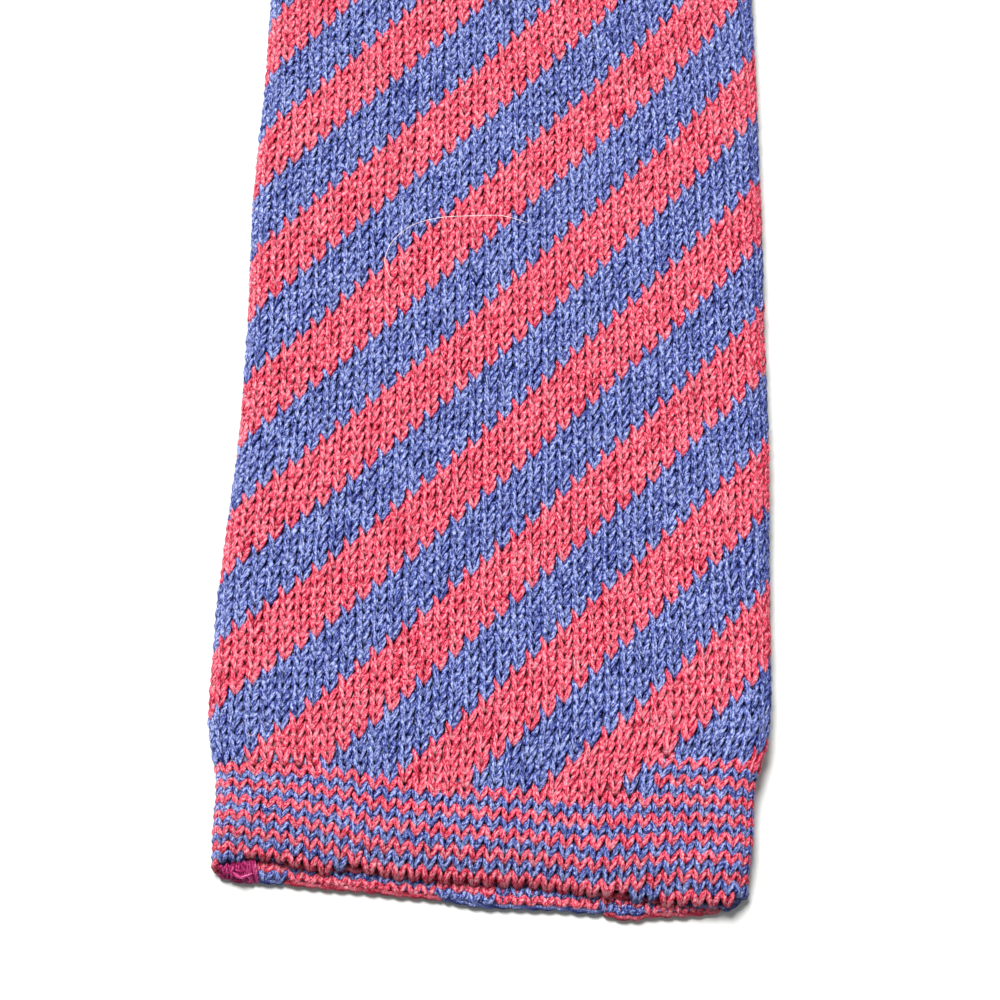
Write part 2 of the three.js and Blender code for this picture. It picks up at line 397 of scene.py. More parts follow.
def stitch_points(wale, distance, rise, lift, scale, rng, placer, leg_rows):
    """Points of both legs of many stitches, with a little unevenness from one to the next."""
    count = len(wale)
    rows = np.array(leg_rows)
    pitch = wale_width(distance)
    points = []
    tones = []
    skew = rng.normal(0.0, STITCH_SKEW, count)
    nudge = rng.normal(0.0, STITCH_NUDGE, count)
    stitch_tone = rng.normal(0.0, STITCH_TONE, count)
    for side in (-1, 1):
        thick = rng.normal(1.0, LEG_THICKNESS, count) * scale
        wander = rng.normal(0.0, LEG_WANDER, count)
        slip = rng.normal(0.0, LEG_SLIP, count)
        u = (side * rows[:, 1] + nudge[:, None] + wander[:, None]) * pitch[:, None]
        v = (rows[:, 0] + slip[:, None]) * rise[:, None]
        u = u + skew[:, None] * (v - v.mean(axis=1, keepdims=True))
        h = rows[:, 2] + lift[:, None] + rng.normal(0.0, LEG_LIFT, count)[:, None]
        centre = np.stack([u, v, h], axis=-1)
        heading = np.gradient(centre, axis=1)
        heading /= np.linalg.norm(heading, axis=-1, keepdims=True)
        sideways = np.cross(heading, np.array([0.0, 0.0, 1.0]))
        sideways /= np.linalg.norm(sideways, axis=-1, keepdims=True)
        upwards = np.cross(sideways, heading)
        half_width = YARN_HALF_WIDTH * pitch[:, None] * rows[:, 3] * thick[:, None]
        half_height = YARN_HALF_HEIGHT * rows[:, 3] * thick[:, None]
        sides = []
        for step in range(LEG_SIDES):
            angle = 2 * math.pi * step / LEG_SIDES - math.pi / 2
            sides.append(
                centre
                + sideways * (half_width * math.cos(angle))[..., None]
                + upwards * (half_height * math.sin(angle))[..., None]
            )
        leg = np.stack(sides, axis=2)
        leg_wale = wale[:, None, None] + leg[..., 0] / pitch[:, None, None]
        leg_distance = distance[:, None, None] + leg[..., 1]
        placed = placer(leg_wale, leg_distance, leg[..., 2])
        points.append(placed.reshape(count, -1, 3))
        leg_tone = stitch_tone + rng.normal(0.0, LEG_TONE, count)
        tones.append(np.repeat(leg_tone[:, None], leg.shape[1] * leg.shape[2], axis=1))
    return np.stack(points, axis=1).reshape(-1, 3), np.stack(tones, axis=1).ravel()


def stitch_piece(name, stitches, rng, placer, leg_rows):
    """One joined mesh of stitches, whose rows give wale, distance, rise, lift and scale."""
    wale, distance, rise, lift, scale = np.array(stitches).T
    points, tones = stitch_points(wale, distance, rise, lift, scale, rng, placer, leg_rows)
    faces, corners = leg_faces()
    leg_size = len(LEG_ROWS) * LEG_SIDES
    legs = 2 * len(wale)
    all_faces = []
    for leg in range(legs):
        start = leg * leg_size
        all_faces.extend(tuple(start + v for v in face) for face in faces)
    return make_mesh(name, points, all_faces, np.tile(corners, (legs, 1)), tones)


# Where the blade's first stitch starts above the band, and how the band's rows lie
BLADE_START = 0.3
BAND_ROWS = 16
BAND_ROW_MIDDLE = 0.62
BAND_OVERHANG = 0.3
EDGE_ROW_DEPTH = 0.5
BAND_LIFT = 0.04
BAND_SCALE = 1.04
BAND_WIDTH = 0.94 * BLADE_WIDTH
BAND_DRIFT = WALE_DRIFT[1][1]


def front_place(wale):
    """Place across of a wale's centre line in the band."""
    across, _ = section(np.array(wale + 0.5 + BAND_DRIFT), np.array(BAND_WIDTH), 0.0)
    return float(across)


def band_top(across):
    """Where the blade's stripes meet the band, which stands higher to the right of the jog."""
    top = line(BAND_TOP, across)
    if across > JOG_ACROSS:
        top += JOG_ROWS * float(line(BAND_ROW, across))
    return float(top)


def blade_stitches():
    """Stitches of the blade's slanting stripes, by colour."""
    red, blue = [], []
    for wale in range(-SIDE_WALES, FRONT_WALES + SIDE_WALES):
        top = band_top(front_place(wale)) + BLADE_START
        lowest = round(float(course_at(wale + 0.5, top)))
        highest = math.floor(course_at(wale + 0.5, STITCHED_LENGTH))
        for course in range(lowest, highest + 1):
            distance = float(distance_of(course, wale))
            rise = float(distance_of(course + 1, wale)) - distance
            sink = -SINK * float(smooth((distance - STITCHED_LENGTH + SINK_RUN) / SINK_RUN))
            row = (wale + 0.5, distance, rise, sink, 1.0)
            (red if is_red(course, wale) else blue).append(row)
    return red, blue


def band_stitches(last):
    """Stitches of the wide end's band, which changes colour at each course: the last row, or the rows above it."""
    red, blue = [], []
    for wale in range(-SIDE_WALES, FRONT_WALES + SIDE_WALES):
        across = front_place(wale)
        step = float(line(BAND_ROW, across))
        first = -JOG_ROWS if across > JOG_ACROSS else 0
        for row in range(first, BAND_ROWS):
            distance = float(line(BAND_TOP, across)) - (row + BAND_ROW_MIDDLE) * step
            from_edge = distance - float(line(CREASE, across))
            if from_edge < -BAND_OVERHANG:
                break
            if (from_edge < EDGE_ROW_DEPTH) != last:
                continue
            stitch = (wale + 0.5, distance, step, BAND_LIFT, BAND_SCALE)
            (blue if row % 2 else red).append(stitch)
    return red, blue


# Rows of the lip, from its edge to where they go under the upper layer
LIP_ROWS = 3
LIP_STEP = 0.86
LIP_FIRST_ROW = 0.36
LIP_UNDER = 0.5
LIP_LIFT = 0.1
LIP_SCALE = 0.95
LIP_END = 25.6
CORNER_END = -22.4

# Colours along the two rolled edges of the mouth: where each run starts and ends across, and its yarn
UPPER_ROLL_RUNS = [(-26.2, -19.6, "blue"), (-19.6, 19.6, "red"), (19.6, 26.2, "blue")]
LIP_ROLL_RUNS = [(-26.2, -22.5, "magenta"), (-22.5, -19.6, "blue"), (-19.6, -3.6, "red"), (-3.6, 12.4, "blue"),
                 (12.4, 24.2, "red"), (24.2, 26.2, "blue")]
# Runs of the lip whose first row of stitches is red
LIP_RED_FIRST = [(-19.6, -3.6), (1.7, 12.4), (15.9, 24.2)]
# The rolls' heights and places in from their edges, and their size, plain and at each wale's bump
UPPER_ROLL_HEIGHT = 1.2
UPPER_ROLL_INSET = 0.45
LIP_ROLL_HEIGHT = 0.5
LIP_ROLL_INSET = 0.36
ROLL_RADIUS = 0.38
ROLL_PLAIN_SHARE = 0.72
ROLL_BUMP_SHARE = 0.28
ROLL_BUMP_REACH = 0.06
ROLL_UNEVEN = 0.05
ROLL_UNEVEN_STEP = 0.9
ROLL_UNEVEN_MARGIN = 2.0
ROLL_END_SHARE = 0.35
ROLL_END_RUN = 0.5
ROLL_TONE = 0.5
ROLL_YARN_LENGTH = 1.3
ROLL_SIDES = 8
ROLL_STEP = 0.12


def lip_stitches():
    """Stitches that show on the lower layer in front of the mouth."""
    red, blue = [], []
    for wale in range(0, FRONT_WALES):
        across = front_place(wale)
        if across < CORNER_END or across > LIP_END:
            continue
        edge = float(line(LIP_EDGE, across))
        first_is_red = any(start <= across < end for start, end in LIP_RED_FIRST)
        for row in range(LIP_ROWS):
            distance = edge + LIP_FIRST_ROW + row * LIP_STEP
            if distance > float(line(CREASE, across)) + LIP_UNDER:
                break
            stitch = (wale + 0.5, distance, LIP_STEP, LIP_LIFT, LIP_SCALE)
            in_red = first_is_red if row % 2 == 0 else not first_is_red
            (red if in_red else blue).append(stitch)
    return red, blue


def thread_tube(paths, size, sides, along=1.5):
    """Closed tubes along many paths, with their faces and yarn coordinates. size is the radius at each step, and
    along is the last yarn coordinate."""
    count, steps, _ = paths.shape
    heading = np.gradient(paths, axis=1)
    heading /= np.linalg.norm(heading, axis=-1, keepdims=True) + 1e-12
    sideways = np.cross(heading, np.array([0.0, 0.0, 1.0]))
    sideways /= np.linalg.norm(sideways, axis=-1, keepdims=True) + 1e-12
    upwards = np.cross(sideways, heading)
    share = np.linspace(0.0, 1.0, steps)
    edges = [
        paths
        + sideways * (size * math.cos(2 * math.pi * side / sides))[None, :, None]
        + upwards * (size * math.sin(2 * math.pi * side / sides))[None, :, None]
        for side in range(sides)
    ]
    points = np.stack(edges, axis=2).reshape(-1, 3)
    faces, corners = [], []
    for thread in range(count):
        start = thread * steps * sides
        for ring in range(steps - 1):
            low, high = start + ring * sides, start + (ring + 1) * sides
            for side in range(sides):
                after = (side + 1) % sides
                faces.append((low + side, low + after, high + after, high + side))
                for step, row in ((side, ring), (side + 1, ring), (side + 1, ring + 1), (side, ring + 1)):
                    corners.append((step / sides, share[row] * along))
        faces.append(tuple(start + side for side in range(sides - 1, -1, -1)))
        faces.append(tuple(start + (steps - 1) * sides + side for side in range(sides)))
        corners.extend([(0.0, 0.0)] * sides + [(0.0, along)] * sides)
    return points, faces, np.array(corners)


def rolled_edge(name, table, height, inset, run, rng):
    """One run of the mouth's rolled edge: a soft ridge with a bump at each wale."""
    start, end, colour = run
    across = np.arange(start, end + ROLL_STEP / 2, ROLL_STEP)
    pitch = float(wale_width(np.array(0.0)))
    phase = (across - front_place(0)) / pitch
    bump = np.abs(np.cos(math.pi * phase))
    knots = np.arange(start, end + ROLL_UNEVEN_MARGIN, ROLL_UNEVEN_STEP)
    uneven = np.interp(across, knots, rng.normal(0.0, ROLL_UNEVEN, len(knots)))
    from_ends = np.minimum(across - start, end - across)
    ends = np.clip(from_ends / ROLL_END_RUN + ROLL_END_SHARE, ROLL_END_SHARE, 1.0)
    size = ROLL_RADIUS * (ROLL_PLAIN_SHARE + ROLL_BUMP_SHARE * bump + uneven) * ends
    shift = float(outline_at(np.array(0.0))[1])
    distance = line(table, across) + inset - ROLL_BUMP_REACH * bump + uneven
    path = lay(distance, across + shift, height + 0.0 * across)
    points, faces, corners = thread_tube(path[None], size, ROLL_SIDES, (end - start) / ROLL_YARN_LENGTH)
    tone = np.repeat(rng.normal(0.0, ROLL_TONE, len(across)), ROLL_SIDES)
    piece = make_mesh(name, points, faces, corners, tone)
    piece.data.materials.append(yarn_material(colour))
    return piece


def rolled_edges():
    """The rolled edges of the upper layer and of the lip, run by run."""
    rng = np.random.default_rng(17)
    pieces = []
    for part, table, height, inset, runs in (
        ("upper_edge", CREASE, UPPER_ROLL_HEIGHT, UPPER_ROLL_INSET, UPPER_ROLL_RUNS),
        ("lip_edge", LIP_EDGE, LIP_ROLL_HEIGHT, LIP_ROLL_INSET, LIP_ROLL_RUNS),
    ):
        for number, run in enumerate(runs, 1):
            pieces.append(rolled_edge(f"{part}_{run[2]}_{number}", table, height, inset, run, rng))
    return pieces


# Whip stitches that close the left corner of the mouth
CORNER_STITCHES = 13
CORNER_START = -25.9
CORNER_THREAD = 0.2
CORNER_SIDES = 8
CORNER_STEPS = 7
CORNER_TOP_INSET = 0.1
CORNER_LOW_INSET = 0.12
CORNER_TOP_HEIGHT = 1.45
CORNER_FALL = 0.95
CORNER_FALL_POWER = 2.2
CORNER_ARCH = 0.12
CORNER_SLANT = 0.35
CORNER_SLANT_SPREAD = 0.3
CORNER_PLACE_SPREAD = 0.06
CORNER_HEIGHT_SPREAD = 0.07
CORNER_THIN_SHARE = 0.6

# The two threads that lie along them: how far up from the lip, where they start and stop, and how they wave
LYING_THREADS = (0.3, 0.62)
LYING_INSET = 0.3
LYING_SHORTENED = 0.5
LYING_WAVE = 0.12
LYING_WAVES = 2.5
LYING_HEIGHT = 1.5
LYING_FALL = 0.35
LYING_ARCH = 0.06
LYING_ARCH_TURN = 5.0


def corner_stitches():
    """Whip stitches in the mouth's left corner, from under the upper edge down to the lip."""
    rng = np.random.default_rng(21)
    share = np.linspace(0.0, 1.0, CORNER_STEPS)
    shift = float(outline_at(np.array(0.0))[1])
    paths = []
    for across in np.linspace(CORNER_START, CORNER_END, CORNER_STITCHES):
        top = float(line(CREASE, across)) + CORNER_TOP_INSET
        low = float(line(LIP_EDGE, across)) + CORNER_LOW_INSET
        slant = rng.normal(CORNER_SLANT, CORNER_SLANT_SPREAD)
        distance = top + (low - top) * share + rng.normal(0.0, CORNER_PLACE_SPREAD)
        height = CORNER_TOP_HEIGHT - CORNER_FALL * share ** CORNER_FALL_POWER
        height = height + CORNER_ARCH * np.sin(math.pi * share) + rng.normal(0.0, CORNER_HEIGHT_SPREAD)
        sideways = across + shift + slant * (share - 0.5)
        paths.append(lay(distance, sideways, height))
    for rise in LYING_THREADS:
        across = CORNER_START + LYING_INSET + (CORNER_END - CORNER_START - LYING_SHORTENED) * share
        top, low = line(CREASE, across), line(LIP_EDGE, across)
        distance = low + (top - low) * (rise + LYING_WAVE * np.sin(LYING_WAVES * math.pi * share))
        height = LYING_HEIGHT - LYING_FALL * (1 - rise) + LYING_ARCH * np.sin(LYING_ARCH_TURN * share)
        paths.append(lay(distance, across + shift, height))
    full = np.sin(math.pi * share) ** 0.5
    size = CORNER_THREAD * (CORNER_THIN_SHARE + (1 - CORNER_THIN_SHARE) * full)
    points, faces, corners = thread_tube(np.array(paths), size, CORNER_SIDES)
    tone = np.repeat(rng.normal(0.0, 1.0, len(paths)), CORNER_STEPS * CORNER_SIDES)
    piece = make_mesh("corner_whip_stitches", points, faces, corners, tone)
    piece.data.materials.append(yarn_material("magenta"))
    return piece


# Loose fibres that stand out from the yarn
FIBRES = 2600
FIBRE_RADIUS = 0.014
FIBRE_TIP_SHARE = 0.1
FIBRE_STEPS = 4
FIBRE_SIDES = 3
FIBRE_LENGTHS = (0.4, 1.5)
FIBRE_RISES = (0.15, 0.75)
FIBRE_BEND = 0.5
FIBRE_ROOT = -0.1
FIBRE_ARCH_TURN = 2.2
FIBRE_WALE_MARGIN = 1.5
FIBRE_FIRST = 1.5
FIBRE_LAST = STITCHED_LENGTH - 6.0
FIBRE_WALE_WIDTH = 1.6

# The share of them that leave the tie's sides, and how many wales they are spread over
SIDE_FIBRES = 0.3
SIDE_FIBRE_SPREAD = 0.8


def loose_fibres():
    """Fine hairs over the stitched length and along both sides, in the colour of the yarn that they leave."""
    rng = np.random.default_rng(33)
    wale = rng.uniform(-FIBRE_WALE_MARGIN, FRONT_WALES + FIBRE_WALE_MARGIN, FIBRES)
    at_sides = rng.random(FIBRES) < SIDE_FIBRES
    side_wale = rng.choice([0.0, float(FRONT_WALES)], FIBRES)
    side_wale = side_wale + rng.normal(0.0, SIDE_FIBRE_SPREAD, FIBRES)
    wale = np.where(at_sides, side_wale, wale)
    distance = rng.uniform(FIBRE_FIRST, FIBRE_LAST, FIBRES)
    direction = rng.uniform(0.0, 2 * math.pi, FIBRES)
    length = rng.uniform(*FIBRE_LENGTHS, FIBRES)
    rise = rng.uniform(*FIBRE_RISES, FIBRES)
    bend = rng.normal(0.0, FIBRE_BEND, FIBRES)
    share = np.linspace(0.0, 1.0, FIBRE_STEPS)[None, :]
    angle = direction[:, None] + bend[:, None] * share
    reach = length[:, None] * share
    paths = place(
        wale[:, None] + reach * np.cos(angle) / FIBRE_WALE_WIDTH,
        distance[:, None] + reach * np.sin(angle),
        FIBRE_ROOT + rise[:, None] * np.sin(share * FIBRE_ARCH_TURN),
    )
    course = np.floor(course_at(wale, distance))
    red = is_red(course, np.floor(wale))
    taper = FIBRE_RADIUS * np.linspace(1.0, FIBRE_TIP_SHARE, FIBRE_STEPS)
    pieces = []
    for colour, chosen in (("red", red), ("blue", ~red)):
        points, faces, corners = thread_tube(paths[chosen], taper, FIBRE_SIDES)
        piece = make_mesh(f"loose_fibres_{colour}", points, faces, corners, np.zeros(len(points)))
        piece.data.materials.append(fibre_material(colour))
        pieces.append(piece)
    return pieces


# One long pale fibre that lies across the blade, as wale, distance and lift
LONG_FIBRE = [(10.6, 65.5, 0.05), (10.0, 67.5, 0.25), (10.5, 70.0, 0.4), (12.0, 72.2, 0.5), (14.0, 73.2, 0.45),
              (16.5, 73.4, 0.5), (18.5, 73.6, 0.45), (20.2, 72.8, 0.1)]
LONG_FIBRE_RADIUS = 0.035
LONG_FIBRE_SIDES = 5
LONG_FIBRE_STEPS = 41
LONG_FIBRE_SMOOTHINGS = 6


def long_fibre():
    """A single loose fibre lying over the stripes."""
    knots = np.array(LONG_FIBRE)
    share = np.linspace(0.0, 1.0, len(knots))
    fine = np.linspace(0.0, 1.0, LONG_FIBRE_STEPS)
    smoothed = np.stack([np.interp(fine, share, knots[:, i]) for i in range(3)], axis=-1)
    for _ in range(LONG_FIBRE_SMOOTHINGS):
        smoothed[1:-1] = (smoothed[:-2] + 2 * smoothed[1:-1] + smoothed[2:]) / 4
    path = place(smoothed[:, 0], smoothed[:, 1], smoothed[:, 2])
    size = LONG_FIBRE_RADIUS * np.ones(LONG_FIBRE_STEPS)
    points, faces, corners = thread_tube(path[None], size, LONG_FIBRE_SIDES)
    piece = make_mesh("long_loose_fibre", points, faces, corners, np.zeros(len(points)))
    piece.data.materials.append(fibre_material("pale"))
    return piece


def build_stitches():
    """All the modelled stitches, a piece for each part and colour."""
    rng = np.random.default_rng(7)
    pieces = []
    parts = (
        ("blade", blade_stitches(), place, LEG_ROWS),
        ("band", band_stitches(False), place, LEG_ROWS),
        ("band_edge", band_stitches(True), place, EDGE_LEG_ROWS),
        ("lip", lip_stitches(), lip_place, EDGE_LEG_ROWS),
    )
    for part, rows, placer, leg_rows in parts:
        for colour, stitches in zip(("red", "blue"), rows):
            piece = stitch_piece(f"{part}_stitches_{colour}", stitches, rng, placer, leg_rows)
            piece.data.materials.append(yarn_material(colour))
            pieces.append(piece)
    return pieces


def node(tree, kind, **values):
    """A shader node with its settings."""
    made = tree.nodes.new(kind)
    for key, value in values.items():
        setattr(made, key, value)
    return made


def math_node(tree, operation, first, second=None, third=None):
    """A Math node whose inputs are sockets or numbers."""
    made = tree.nodes.new("ShaderNodeMath")
    made.operation = operation
    for slot, value in zip(made.inputs, (first, second, third)):
        if value is None:
            continue
        if isinstance(value, (int, float)):
            slot.default_value = value
        else:
            tree.links.new(value, slot)
    return made.outputs[0]


def ramp(tree, value, stops):
    """A colour ramp over stops of place and linear colour."""
    made = tree.nodes.new("ShaderNodeValToRGB")
    tree.links.new(value, made.inputs[0])
    stops = list(stops)
    elements = made.color_ramp.elements
    while len(elements) < len(stops):
        elements.new(0.5)
    for element, (position, colour) in zip(elements, stops):
        element.position = position
        element.color = (*colour, 1.0)
    return made.outputs[0]


def blank_material(name):
    """A new material with its node tree and its shader."""
    material = bpy.data.materials.new(name)
    material.use_nodes = True
    return material, material.node_tree, material.node_tree.nodes["Principled BSDF"]


def split_yarn_place(tree):
    """The two yarn coordinates of a surface."""
    uv = node(tree, "ShaderNodeUVMap", uv_map="yarn")
    split = node(tree, "ShaderNodeSeparateXYZ")
    tree.links.new(uv.outputs[0], split.inputs[0])
    return split.outputs[0], split.outputs[1]


def object_noise(tree, scale):
    """Even noise through the whole piece."""
    place_in_piece = node(tree, "ShaderNodeTexCoord")
    noise = node(tree, "ShaderNodeTexNoise")
    noise.inputs["Scale"].default_value = scale
    tree.links.new(place_in_piece.outputs["Object"], noise.inputs["Vector"])
    return noise.outputs["Fac"]


def raise_surface(tree, shader, height, distance):
    """Bump from a height, with its full height in metres."""
    bump = node(tree, "ShaderNodeBump")
    bump.inputs["Strength"].default_value = 1.0
    bump.inputs["Distance"].default_value = distance
    tree.links.new(height, bump.inputs["Height"])
    tree.links.new(bump.outputs[0], shader.inputs["Normal"])


# Yarn colours, linear: groove (painted shade between the plies), body, and raised fibre (painted highlight)
YARN_COLOURS = {
    "red": ((0.34, 0.003, 0.020), (0.96, 0.078, 0.150), (1.0, 0.42, 0.49)),
    "magenta": ((0.20, 0.002, 0.05), (0.62, 0.028, 0.19), (0.95, 0.20, 0.48)),
    "blue": ((0.006, 0.010, 0.11), (0.094, 0.124, 0.43), (0.53, 0.61, 1.0)),
}
YARN_STOPS = (0.0, 0.42, 1.0)
# YARN_LIFT moves every leg towards the painted highlight colour
YARN_LIFT = 0.13
YARN_ROUGHNESS = 0.7
YARN_SPECULAR = 0.08
YARN_BUMP = 0.0003

# The two plies: turns for each course, where they start, how a stitch's tone turns them, and how wide they are
PLY_TURNS = 0.16
PLY_PHASE = 1.1
PLY_TONE_TURN = 0.35
PLY_WIDENING = 0.55
PLY_SHARE = 0.5
TONE_SHARE = 0.06

# Fine fibres along the plies, as bump and, in the colour, as painted highlights and painted shade at random
GRAIN_ROUND = 11.0
GRAIN_ALONG = 3.4
GRAIN_TONE = 17.0
GRAIN_DETAIL = 3.0
GRAIN_ROUGHNESS = 0.65
GRAIN_DEPTH = 3.4

FIBRE_COLOURS = {"red": (0.86, 0.16, 0.24), "blue": (0.26, 0.32, 0.72), "pale": (0.80, 0.66, 0.66)}
FIBRE_PATCH_SCALE = 1500.0
FIBRE_DARK_SHARE = 0.55
FIBRE_STOPS = (0.3, 0.6)
FIBRE_ROUGHNESS = 0.5
made_materials = {}


def fibre_material(colour):
    """Single fibres, with a little unevenness along them."""
    material, tree, shader = blank_material(f"{colour}_fibre")
    light = FIBRE_COLOURS[colour]
    dark = tuple(FIBRE_DARK_SHARE * part for part in light)
    shade = ramp(tree, object_noise(tree, FIBRE_PATCH_SCALE), zip(FIBRE_STOPS, (dark, light)))
    tree.links.new(shade, shader.inputs["Base Color"])
    shader.inputs["Roughness"].default_value = FIBRE_ROUGHNESS
    return material


def yarn_material(colour):
    """Two-ply wool: long grooves between the plies and fine fibres along them, as bump and as colour: the ramp
    paints the grooves dark as painted shade and the raised fibre pale as painted highlight.
    """
    if colour in made_materials:
        return made_materials[colour]
    material, tree, shader = blank_material(f"{colour}_yarn")
    around, along = split_yarn_place(tree)
    tone = node(tree, "ShaderNodeAttribute", attribute_name="tone").outputs["Fac"]
    turns = math_node(tree, "MULTIPLY_ADD", along, PLY_TURNS, around)
    offset = math_node(tree, "MULTIPLY_ADD", tone, PLY_TONE_TURN, PLY_PHASE)
    phase = math_node(tree, "MULTIPLY_ADD", turns, 4 * math.pi, offset)
    wave = math_node(tree, "SINE", phase)
    ply = math_node(tree, "MULTIPLY_ADD", wave, 0.5, 0.5)
    soft = math_node(tree, "POWER", ply, PLY_WIDENING)
    join = node(tree, "ShaderNodeCombineXYZ")
    for slot, (value, factor) in zip(join.inputs, ((turns, GRAIN_ROUND), (along, GRAIN_ALONG), (tone, GRAIN_TONE))):
        tree.links.new(math_node(tree, "MULTIPLY", value, factor), slot)
    fibres = node(tree, "ShaderNodeTexNoise")
    fibres.inputs["Scale"].default_value = 1.0
    fibres.inputs["Detail"].default_value = GRAIN_DETAIL
    fibres.inputs["Roughness"].default_value = GRAIN_ROUGHNESS
    tree.links.new(join.outputs[0], fibres.inputs["Vector"])
    grain = math_node(tree, "MULTIPLY_ADD", fibres.outputs["Fac"], GRAIN_DEPTH, -GRAIN_DEPTH / 2)
    mixed = math_node(tree, "MULTIPLY_ADD", soft, PLY_SHARE, grain)
    toned = math_node(tree, "MULTIPLY_ADD", tone, TONE_SHARE, mixed)
    lifted = math_node(tree, "ADD", toned, YARN_LIFT)
    # Painted light and shade: the groove colour is painted shade between the plies, the raised colour a painted
    # highlight
    shade = ramp(tree, lifted, zip(YARN_STOPS, YARN_COLOURS[colour]))
    tree.links.new(shade, shader.inputs["Base Color"])
    shader.inputs["Roughness"].default_value = YARN_ROUGHNESS
    shader.inputs["Specular IOR Level"].default_value = YARN_SPECULAR
    raise_surface(tree, shader, mixed, YARN_BUMP)
    made_materials[colour] = material
    return material


# Fabric colours, linear: between stitches and their sides (painted shade), their tops, and raised fibre (painted
# highlight)
FABRIC_STOPS = (0.0, 0.3, 0.66, 1.0)
FABRIC_COLOURS = {
    "red": ((0.06, 0.002, 0.009), (0.34, 0.018, 0.047), (0.80, 0.11, 0.18), (1.0, 0.46, 0.52)),
    "blue": ((0.004, 0.006, 0.04), (0.035, 0.045, 0.17), (0.125, 0.16, 0.42), (0.56, 0.63, 1.0)),
}

# How the stitches are drawn on it: their slant in courses for each wale, and how their bulge falls off, which gives
# the bump and the painted shade down their sides
FABRIC_SLANT = 1.8
BULGE_ALONG_POWER = 0.5
BULGE_BESIDE_POWER = 0.6
BULGE_SHARE = 0.72
# Painted light: the fabric under the modelled stitches is coloured lighter, against the shade in the gaps between
# them
COVERED_PAINTED_LIGHT = 0.3
FABRIC_GRAIN_SCALE = 4200.0
FABRIC_GRAIN_DEPTH = 1.7
FABRIC_ROUGHNESS = 0.9
FABRIC_SPECULAR = 0.06
FABRIC_BUMP = 0.0004
FABRIC_SHEEN = 0.08
FABRIC_SHEEN_ROUGHNESS = 0.5
FABRIC_SHEEN_COLOUR = (1.0, 0.7, 0.85, 1.0)

# The tube under and beyond the modelled stitches
ROUND_STEPS = 2 * WALES
TUBE_STEP = 5.0
END_STEP = 1.0
END_RUN = 16.0
FOLD_MARGIN = 3.0
RIB_DEPTH = 0.35
FABRIC_LIFT = 0.08
COVERED_INSET = 0.72
COVERED_BEFORE = 1.0
COVERED_RUN = 3.0
FABRIC_INNER = 1.45
LAYER_BLEND = 0.4
UPPER_END_INSET = 0.9
LOWER_END_INSET = 0.55


def tube_distances():
    """Distances of the tube's rings: close at both ends and at the fold."""
    ends = np.arange(0.0, END_RUN, END_STEP)
    fold = np.arange(FOLD_FROM_END - FOLD_MARGIN, tail_start + FOLD_MARGIN, END_STEP)
    first = np.arange(END_RUN, fold[0], TUBE_STEP)
    second = np.arange(fold[-1] + END_STEP, TOTAL_LENGTH - END_RUN, TUBE_STEP)
    return np.concatenate([ends, first, fold, second, TOTAL_LENGTH - ends[::-1]])


